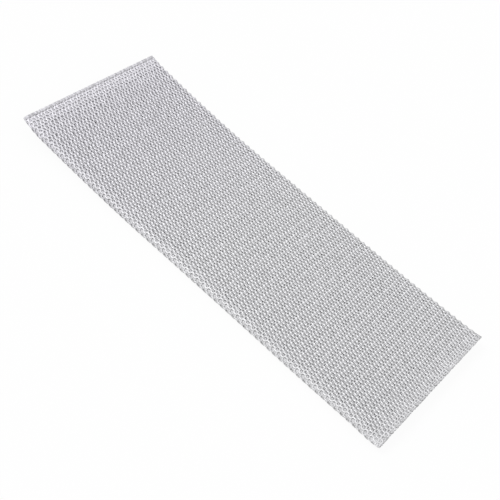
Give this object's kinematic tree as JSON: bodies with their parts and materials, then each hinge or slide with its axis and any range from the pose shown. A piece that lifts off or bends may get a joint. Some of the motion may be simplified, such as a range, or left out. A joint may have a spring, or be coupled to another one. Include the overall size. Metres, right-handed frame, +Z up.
{
  "type": "cooker hood grease filter",
  "caption": "Frameless rectangular pad of knitted aluminium mesh, folded over at its long edges and pressed thin at its short ends, that catches grease in a cooker hood.",
  "frame": {"origin": "middle of the pad's footprint, on the surface that it lies on", "axes": "+X along the pad from its more lifted short end to the other, +Y from the near to the far long edge, +Z up"},
  "size_m": [0.45, 0.18, 0.019],
  "materials": {
    "aluminium_mesh": "satin knitted wire"
  },
  "bodies": {
    "root": {"mesh_pad": "aluminium_mesh"}
  },
  "joints": []
}
